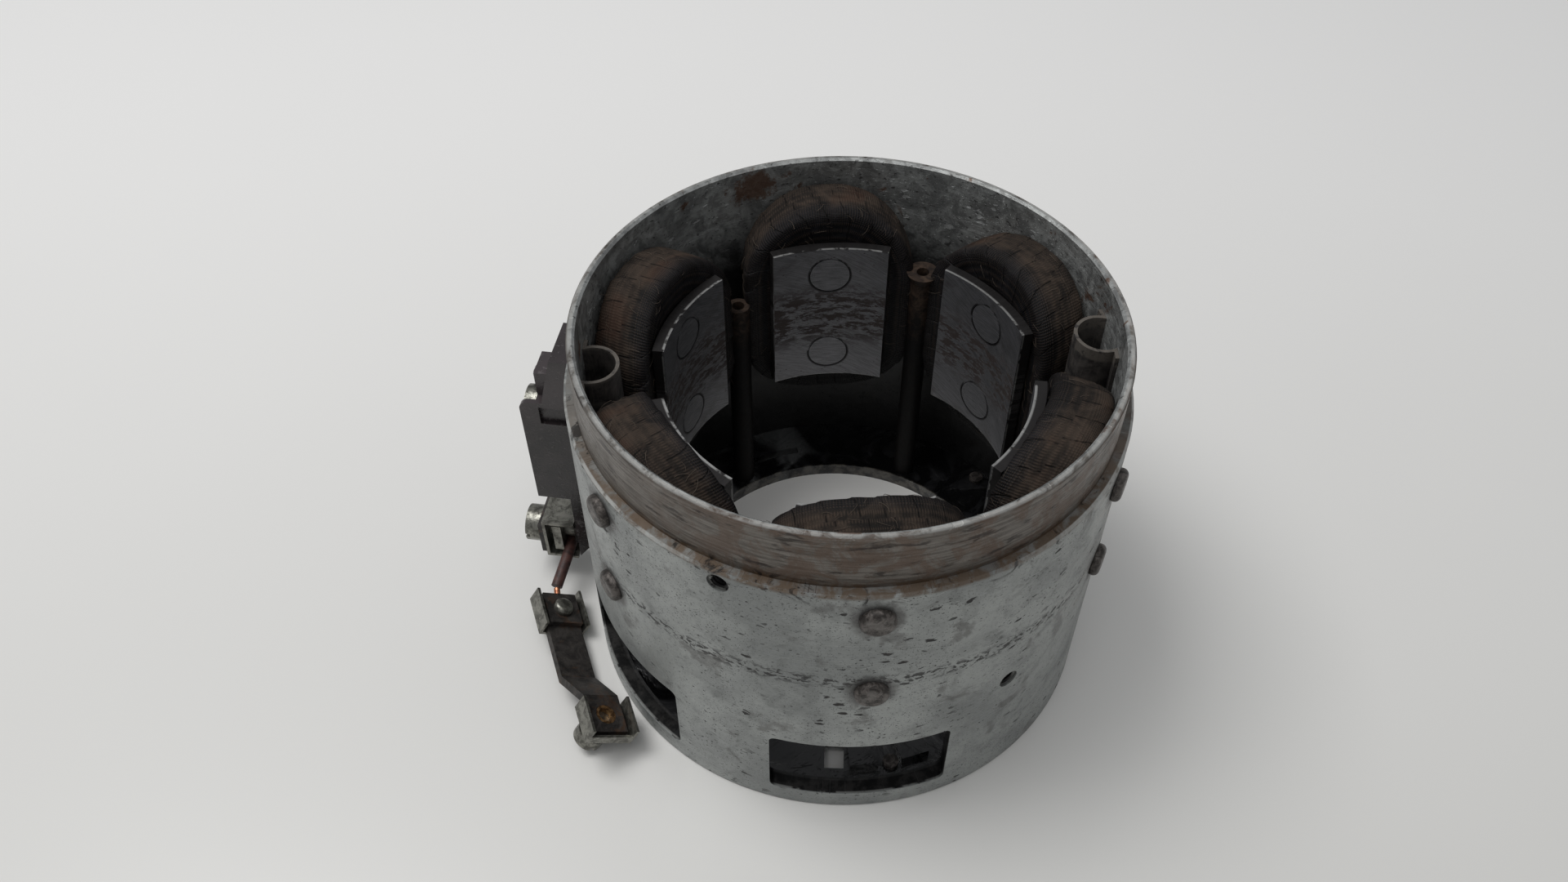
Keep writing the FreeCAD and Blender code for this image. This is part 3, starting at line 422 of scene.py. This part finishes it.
def tapeMaterial():
    p = Paint("coil tape")
    along, around = p.split("ShaderNodeSeparateXYZ", p.add("ShaderNodeUVMap", [], uv_map="tape"))[:2]
    wrap = (along + around * tape["lean"]) / tape["pitch"]
    phase = wrap - wrap.maths("FLOOR")
    edge = p.step(abs(phase - 0.5), 0.46, 0.495) * p.step(p.noise(0.35, 4, 0.6), 0.36, 0.56)
    rib = (around * (2 * math.pi / tape["rib"])).maths("SINE") * 0.5
    cross = (along * (2 * math.pi / tape["cross"])).maths("SINE") * 0.5
    weave = rib + cross
    cloud = p.noise(0.1, 6, 0.68, 0.8)
    fuzz = p.noise(2.6, 3, 0.6)
    # brown towards the wall; black on the inner face, from varnish and painted shade, and black low down as
    # painted shade
    front = p.step(p.radius + (cloud - 0.5) * 6.0, coil["front"] + 6.4, coil["front"] + 1.4)
    low = p.step(p.z + (cloud - 0.5) * 16.0, *shadeDepths["tape"])
    brown = p.blend(p.step(cloud, 0.34, 0.68), tone(26, 23, 21), tone(60, 51, 44))
    brown = p.blend(p.step(p.noise(0.05, 4, 0.6), 0.5, 0.66) * 0.5, brown, tone(62, 42, 32))
    dark = p.blend(p.step(cloud, 0.4, 0.7), tone(9, 9, 11), tone(26, 26, 29))
    color = p.blend((front + low).maths("MINIMUM", 1.0), brown, dark)
    color = p.blend(p.step(weave, 0.1, 0.95) * 0.3, color, tone(84, 70, 60))
    color = p.blend(p.step(fuzz, 0.58, 0.76) * 0.3, color, tone(88, 74, 62))
    # painted shade: a near-black line in the crease at each lap edge
    color = p.blend(edge * 0.85, color, tone(7, 6, 6))
    # painted shade: the foot of the coil is near black
    color = p.blend(p.step(p.z, *shadeDepths["coilFoot"]) * 0.85, color, tone(4, 4, 5))
    height = weave * 0.45 + fuzz * 0.8 - edge * 1.6
    return p.finish(color, 0.86 - front * 0.3, 0.0, p.bumped(height, 0.00022, 0.75), Specular_IOR_Level=0.18)


def stripMaterial():
    p = Paint("pressboard")
    cloud = p.noise(0.16, 5, 0.65, 0.7)
    fibre = p.noise(1.0, 4, 0.6, 0.0, p.vector(p.x * 1.5, p.y * 1.5, p.z * 0.2))
    color = p.blend(p.step(cloud, 0.36, 0.66), tone(38, 36, 36), tone(76, 72, 69))
    color = p.blend(p.step(fibre, 0.5, 0.75) * 0.4, color, tone(96, 90, 84))
    # painted highlight: a lighter line along the top edge
    topEdgeHighlight = p.step(p.z, 96.4, 97.4) * p.step(p.noise(0.5, 3), 0.35, 0.5)
    color = p.blend(topEdgeHighlight * 0.6, color, tone(104, 98, 91))
    # painted shade: the strip turns black lower down
    color = p.blend(p.step(p.z + cloud * 14, *shadeDepths["strip"]), color, paintedShade)
    return p.finish(color, 0.6, 0.0, p.bumped(fibre + cloud, 0.00025, 0.5), Specular_IOR_Level=0.3)


def tubeMaterial():
    p = Paint("fibre tube")
    cloud = p.noise(0.3, 5, 0.7, 0.8)
    color = p.blend(p.step(cloud, 0.36, 0.64), tone(34, 28, 25), tone(66, 53, 44))
    color = p.blend(p.step(p.noise(1.2, 3), 0.58, 0.7) * 0.7, color, tone(28, 24, 22))
    # painted shade: the tube turns black lower down
    color = p.blend(p.step(p.z + cloud * 16, *shadeDepths["tube"]) * 0.95, color, paintedShade)
    return p.finish(color, 0.62, 0.0, p.bumped(cloud, 0.0003, 0.5), Specular_IOR_Level=0.15)


def mouldingMaterial():
    p = Paint("black moulding")
    cloud = p.noise(0.09, 4, 0.6, 0.6)
    fine = p.noise(1.8, 4, 0.6)
    color = p.blend(p.step(cloud, 0.35, 0.66), tone(22, 18, 19), tone(42, 36, 37))
    dust = p.step(p.noise(0.6, 5, 0.7, 0.4), 0.56, 0.72)
    color = p.blend(dust * 0.45, color, tone(98, 92, 90))
    # painted light: a lighter band over the upper part of the moulding
    color = p.blend(p.step(p.z, 66.0, 80.0) * p.step(p.z, 96.0, 88.0) * 0.35, color, tone(96, 88, 90))
    return p.finish(color, p.between(dust, 0.26, 0.55), 0.0, p.bumped(fine + dust, 0.00015, 0.35))


def platedMaterial():
    p = Paint("plated steel")
    cloud = p.noise(0.4, 5, 0.65, 0.6)
    fine = p.noise(2.2, 4, 0.65)
    color = p.blend(p.step(cloud, 0.35, 0.62), tone(86, 85, 79), tone(140, 139, 131))
    spots = p.step(p.noise(1.3, 4, 0.7, 0.4), 0.57, 0.66)
    color = p.blend(spots * 0.75, color, tone(58, 52, 44))
    rough = p.between(spots, 0.3, 0.6)
    return p.finish(color, rough, 0.8 - spots * 0.5, p.bumped(fine - spots, 0.00015, 0.45))


def darkMaterial():
    p = Paint("dark steel")
    cloud = p.noise(0.22, 6, 0.7, 1.0)
    fine = p.noise(1.6, 4, 0.65)
    color = p.blend(p.step(cloud, 0.36, 0.66), tone(40, 38, 37), tone(76, 72, 69))
    color = p.blend(p.step(p.noise(0.16, 5, 0.7, 0.8), 0.52, 0.64) * 0.7, color, tone(84, 62, 46))
    color = p.blend(p.step(fine, 0.6, 0.76) * 0.5, color, tone(112, 106, 100))
    return p.finish(color, 0.5, 0.45, p.bumped(fine + cloud, 0.0002, 0.5))


def brassMaterial():
    p = Paint("brass")
    cloud = p.noise(0.8, 4, 0.6)
    color = p.blend(p.step(cloud, 0.36, 0.66), tone(96, 72, 48), tone(176, 138, 96))
    return p.finish(color, 0.4, 0.8, p.bumped(cloud, 0.0001, 0.4))


def wireCoverMaterial():
    p = Paint("wire cover")
    cloud = p.noise(0.5, 5, 0.65, 0.4)
    color = p.blend(p.step(cloud, 0.34, 0.66), tone(46, 29, 27), tone(82, 53, 47))
    color = p.blend(p.step(p.noise(1.6, 3), 0.6, 0.72) * 0.6, color, tone(34, 24, 24))
    return p.finish(color, 0.55, 0.0, p.bumped(cloud, 0.0002, 0.5))


def copperMaterial():
    p = Paint("copper")
    cloud = p.noise(1.4, 4, 0.6)
    color = p.blend(p.step(cloud, 0.36, 0.66), tone(132, 82, 60), tone(212, 146, 112))
    return p.finish(color, 0.38, 0.85, p.bumped(cloud, 0.0001, 0.4))


def cottonMaterial():
    p = Paint("loose thread")
    return p.finish(p.blend(p.noise(0.8, 3), tone(48, 40, 34), tone(104, 92, 80)), 0.85)


materials = {
    "yoke_steel": yokeMaterial(), "pole_steel": poleMaterial(), "rivet_steel": rivetMaterial(),
    "oily_steel": ringMaterial(), "coil_tape": tapeMaterial(), "pressboard": stripMaterial(),
    "fibre_tube": tubeMaterial(), "bakelite": mouldingMaterial(), "dark_steel": darkMaterial(),
    "plated_steel": platedMaterial(), "brass": brassMaterial(), "wire_cover": wireCoverMaterial(),
    "copper": copperMaterial(),
}
slotOf = {part["node"]: part["material_slot"] for part in frame["record"]["subparts"]}
for name, item in nodes.items():
    item.data.materials.clear()
    item.data.materials.append(materials[slotOf[name]])
print("materials done")


def addMesh(name, verts, faces, slotName, smooth=True):
    mesh = bpy.data.meshes.new(name)
    mesh.from_pydata(verts, [], faces)
    mesh.update()
    for face in mesh.polygons:
        face.use_smooth = smooth
    mesh.materials.append(materials[slotName])
    item = bpy.data.objects.new(name, mesh)
    bpy.context.scene.collection.objects.link(item)
    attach(item, "root")
    return item


def faceOutward(item):
    shape = bmesh.new()
    shape.from_mesh(item.data)
    bmesh.ops.recalc_face_normals(shape, faces=shape.faces)
    shape.to_mesh(item.data)
    shape.free()


# the coil's middle line is a rounded oblong: half its width and length less the corners
midWidth = (coil["halfWidth"] + coil["coreHalfWidth"]) / 2
midLength = (coil["halfLength"] + coil["coreHalfLength"]) / 2
midFlat, midStraight = midWidth - coil["endRadius"], midLength - coil["endRadius"]
midCorner = math.pi / 2 * coil["endRadius"]
midTotal = 4 * (midFlat + midStraight + midCorner)


# the point at distance s along the middle line, and the direction outward from there
def middleLine(s):
    radius = coil["endRadius"]
    centres = [(midFlat, -midStraight), (midFlat, midStraight),
               (-midFlat, midStraight), (-midFlat, -midStraight)]
    for k in range(4):
        side = 2 * (midFlat if k % 2 else midStraight)
        turn = math.radians(90 * k)
        if s <= side:
            (y, z), onward = centres[k], s
            break
        s -= side
        if s <= midCorner or k == 3:
            (y, z), onward = centres[(k + 1) % 4], 0.0
            turn += s / radius
            break
        s -= midCorner
    outY, outZ = math.cos(turn), math.sin(turn)
    return y + radius * outY - onward * outZ, z + radius * outZ + onward * outY, outY, outZ


# a cosine or sine pushed outward, which squares up the section
def squared(value, squareness):
    return math.copysign(abs(value) ** (2 / squareness), value)


# the coil's points, and each one's place on the tape: distance along it and around it
def coilPoints(number):
    wraps = round(midTotal / tape["pitch"])
    stretch = wraps * tape["pitch"] / midTotal
    rng = random.Random(coil["seed"] + number)
    lumps = [rng.uniform(-1, 1) for each in range(wraps + 1)]
    turned = Matrix.Rotation(math.radians(90 + pole["turn"] + 60 * (number - 1)), 3, "Z")
    halfDepth, middleDepth = (coil["back"] - coil["front"]) / 2, (coil["back"] + coil["front"]) / 2
    buildWidth = (coil["halfWidth"] - coil["coreHalfWidth"]) / 2
    buildLength = (coil["halfLength"] - coil["coreHalfLength"]) / 2
    points, laid = [], []
    for i in range(coil["alongCount"]):
        s = midTotal * i / coil["alongCount"]
        y, z, outY, outZ = middleLine(s)
        halfBuild = (1 - abs(outZ)) * buildWidth + abs(outZ) * buildLength
        for j in range(coil["aroundCount"]):
            theta = 2 * math.pi * j / coil["aroundCount"]
            squareness = coil["backSquareness"] if math.sin(theta) > 0 else coil["frontSquareness"]
            along, around = s * stretch, theta * coil["tapeRadius"]
            wrap = (along + around * tape["lean"]) / tape["pitch"]
            slack = tape["lap"] * (1 - wrap % 1) + tape["wave"] * math.cos(3 * theta + number)
            swell = min(1 - slack + tape["lump"] * lumps[int(wrap) % wraps], 1.0)
            build = squared(math.cos(theta), squareness) * halfBuild * swell
            radius = middleDepth + squared(math.sin(theta), squareness) * halfDepth * swell
            aside = y + outY * build
            outward = math.sqrt(max(radius * radius - aside * aside, 1.0))
            place = turned @ Vector((outward, aside, z + outZ * build)) + Vector((0, 0, pole["middle"]))
            points.append(tuple(place * mm))
            laid.append((along, around))
    return points, laid, (wraps * tape["pitch"], 2 * math.pi * coil["tapeRadius"])


def makeCoil(number):
    points, laid, (tapeEnd, roundEnd) = coilPoints(number)
    alongCount, aroundCount = coil["alongCount"], coil["aroundCount"]
    faces, corners = [], []
    for i in range(alongCount):
        for j in range(aroundCount):
            here, onward = i * aroundCount, (i + 1) % alongCount * aroundCount
            over = (j + 1) % aroundCount
            faces.append((here + j, onward + j, onward + over, here + over))
            along, around = laid[here + j]
            nextAlong = laid[onward][0] if onward else tapeEnd
            nextAround = laid[over][1] if over else roundEnd
            corners += [(along, around), (nextAlong, around), (nextAlong, nextAround), (along, nextAround)]
    item = addMesh("taped_coil_%d" % number, points, faces, "coil_tape")
    layer = item.data.uv_layers.new(name="tape")
    for loop, corner in zip(layer.data, corners):
        loop.uv = corner
    faceOutward(item)
    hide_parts("field_coil_%d" % number)
    return item


# loose ends of cotton over the tape, in metres, per square metre and in radians
cotton = {
    "Density": 30000.0, "Length": 0.0034, "Thickness": 0.00005, "Finish": cottonMaterial(),
    "arch": (0.0, 0.0007, 0.0006), "leanFrom": (-0.1, -0.12, 0.0), "leanTo": (0.1, 0.02, 6.28),
    "smallest": 0.4, "largest": 1.2, "leanSeed": 5, "scaleSeed": 9,
}


def addNode(tree, kind, inputs, **settings):
    node = tree.nodes.new(kind)
    for name, value in settings.items():
        setattr(node, name, value)
    for name, value in inputs.items():
        if isinstance(value, bpy.types.NodeSocket):
            tree.links.new(value, node.inputs[name])
        else:
            node.inputs[name].default_value = value
    return node.outputs


def cottonTree():
    tree = bpy.data.node_groups.new("loose_threads", "GeometryNodeTree")
    kinds = {"Geometry": "Geometry", "Density": "Float", "Length": "Float", "Thickness": "Float",
             "Seed": "Int", "Finish": "Material"}
    for name, kind in kinds.items():
        tree.interface.new_socket(name, in_out="INPUT", socket_type="NodeSocket" + kind)
    tree.interface.new_socket("Geometry", in_out="OUTPUT", socket_type="NodeSocketGeometry")
    given = addNode(tree, "NodeGroupInput", {})
    points = addNode(tree, "GeometryNodeDistributePointsOnFaces",
                     {"Mesh": given["Geometry"], "Density": given["Density"], "Seed": given["Seed"]})
    end = addNode(tree, "ShaderNodeCombineXYZ", {"X": given["Length"]})[0]
    middle = addNode(tree, "ShaderNodeVectorMath", {0: end, 1: (0.5, 0.0, 0.0)}, operation="MULTIPLY")[0]
    arched = addNode(tree, "ShaderNodeVectorMath", {0: middle, 1: cotton["arch"]}, operation="ADD")[0]
    fibre = addNode(tree, "GeometryNodeCurveQuadraticBezier",
                    {"Resolution": 4, "Start": (0.0, 0.0, 0.0), "Middle": arched, "End": end})[0]
    circle = addNode(tree, "GeometryNodeCurvePrimitiveCircle",
                     {"Resolution": 4, "Radius": given["Thickness"]})
    thread = addNode(tree, "GeometryNodeCurveToMesh",
                     {"Curve": fibre, "Profile Curve": circle["Curve"], "Fill Caps": True})[0]
    lean = addNode(tree, "FunctionNodeRandomValue",
                   {0: cotton["leanFrom"], 1: cotton["leanTo"], "Seed": cotton["leanSeed"]},
                   data_type="FLOAT_VECTOR")[0]
    lying = addNode(tree, "FunctionNodeRotateRotation", {"Rotation": points["Rotation"], "Rotate By": lean},
                    rotation_space="LOCAL")[0]
    scale = addNode(tree, "FunctionNodeRandomValue",
                    {2: cotton["smallest"], 3: cotton["largest"], "Seed": cotton["scaleSeed"]},
                    data_type="FLOAT")[1]
    placed = addNode(tree, "GeometryNodeInstanceOnPoints",
                     {"Points": points["Points"], "Instance": thread, "Rotation": lying, "Scale": scale})[0]
    solid = addNode(tree, "GeometryNodeRealizeInstances", {"Geometry": placed})[0]
    painted = addNode(tree, "GeometryNodeSetMaterial", {"Geometry": solid, "Material": given["Finish"]})[0]
    addNode(tree, "NodeGroupOutput", {"Geometry": painted})
    return tree


def makeCotton(item, tree, seed):
    loose = bpy.data.objects.new("loose_threads_%d" % seed, item.data.copy())
    bpy.context.scene.collection.objects.link(loose)
    modifier = loose.modifiers.new("threads", "NODES")
    modifier.node_group = tree
    wanted = dict(cotton, Seed=seed)
    for socket in tree.interface.items_tree:
        if socket.in_out == "INPUT" and socket.name in wanted:
            modifier[socket.identifier] = wanted[socket.name]
    bpy.context.view_layer.update()
    shape = bpy.data.meshes.new_from_object(loose.evaluated_get(bpy.context.evaluated_depsgraph_get()))
    loose.modifiers.remove(modifier)
    loose.data = shape
    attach(loose, "root")


looseThreads = cottonTree()
for number in range(1, 7):
    makeCotton(makeCoil(number), looseThreads, number)
print("coils done")

# the two tapped holes: a ridge winding through the wall, at a turn and a height
holeThread = {
    "root": 2.13, "crest": 1.76, "pitch": 0.8, "flank": 0.38, "from": 65.9, "to": 69.5, "sides": 36,
    "holes": {"upper": (-115.5, 88.3), "lower": (-55.7, 41.9)},
}


def makeHoleThread(name, turn, height):
    sides, pitch, root = holeThread["sides"], holeThread["pitch"], holeThread["root"]
    profile = [(-holeThread["flank"], root), (0.0, holeThread["crest"]), (holeThread["flank"], root)]
    out = Vector((math.cos(math.radians(turn)), math.sin(math.radians(turn)), 0))
    aside, up = Vector((-out.y, out.x, 0)), Vector((0, 0, 1))
    steps = round((holeThread["to"] - holeThread["from"]) / pitch * sides)
    verts, faces = [], []
    for i in range(steps + 1):
        theta = 2 * math.pi * i / sides
        away = aside * math.cos(theta) + up * math.sin(theta)
        for shift, radius in profile:
            along = holeThread["from"] + pitch * (i / sides + shift)
            verts.append(tuple((out * along + away * radius + up * height) * mm))
        if i:
            for k in range(3):
                a, b = (i - 1) * 3 + k, (i - 1) * 3 + (k + 1) % 3
                faces.append((a, b, b + 3, a + 3))
    faces += [(0, 1, 2), (steps * 3 + 2, steps * 3 + 1, steps * 3)]
    faceOutward(addMesh("%s_hole_thread" % name, verts, faces, "yoke_steel", smooth=False))


for name, (turn, height) in holeThread["holes"].items():
    makeHoleThread(name, turn, height)
print("threads done")

table = {"reach": 3.0, "near": tone(210, 209, 205), "far": tone(243, 242, 240), "from": -260.0, "to": 420.0}


def makeTable():
    reach = table["reach"]
    mesh = bpy.data.meshes.new("floor")
    mesh.from_pydata([(-reach, -reach, 0), (reach, -reach, 0), (reach, reach, 0), (-reach, reach, 0)], [],
                     [(0, 1, 2, 3)])
    p = Paint("table")
    # painted light: the floor is lighter towards the back
    back = p.step(p.y + p.noise(0.004, 3) * 60.0, table["from"], table["to"])
    mesh.materials.append(p.finish(p.blend(back, table["near"], table["far"]), 0.32))
    item = bpy.data.objects.new("floor", mesh)
    bpy.context.scene.collection.objects.link(item)


lamps = {
    "window": {"place": (-0.62, 0.1, 1.45), "size": 0.7, "power": 11},
    "ceiling": {"place": (-0.1, -0.3, 1.6), "size": 1.2, "power": 6},
}
lampTarget = Vector((0, 0, 0.05))
room = {"color": (0.95, 0.97, 1.0, 1), "strength": 0.31}


def makeLamp(name, place, size, power):
    lamp = bpy.data.lights.new(name, "AREA")
    lamp.shape = "SQUARE"
    lamp.size = size
    lamp.energy = power
    item = bpy.data.objects.new(name, lamp)
    item.location = place
    item.rotation_euler = (lampTarget - Vector(place)).to_track_quat("-Z", "Y").to_euler()
    bpy.context.scene.collection.objects.link(item)


def makeRoom():
    world = bpy.data.worlds.new("room")
    world.use_nodes = True
    background = world.node_tree.nodes["Background"]
    background.inputs["Color"].default_value = room["color"]
    background.inputs["Strength"].default_value = room["strength"]
    bpy.context.scene.world = world


# the camera stands so many yoke radii from the middle of the foot
camera = {"place": (-0.2191, -3.2563, 4.4207), "down": 46.908, "roll": 0.09, "lens": 29.08, "sensor": 36}


def makeCamera():
    lens = bpy.data.cameras.new("camera")
    lens.sensor_width = camera["sensor"]
    lens.lens = camera["lens"]
    lens.clip_start = 0.01
    lens.clip_end = 50
    item = bpy.data.objects.new("camera", lens)
    item.location = [share * yoke["radius"] * mm for share in camera["place"]]
    item.rotation_euler = (math.radians(90 - camera["down"]), math.radians(camera["roll"]), 0)
    bpy.context.scene.collection.objects.link(item)
    bpy.context.scene.camera = item


makeTable()
makeRoom()
makeCamera()
for name, lamp in lamps.items():
    makeLamp(name, **lamp)
bpy.context.scene.view_settings.view_transform = "Standard"

print("scene done")
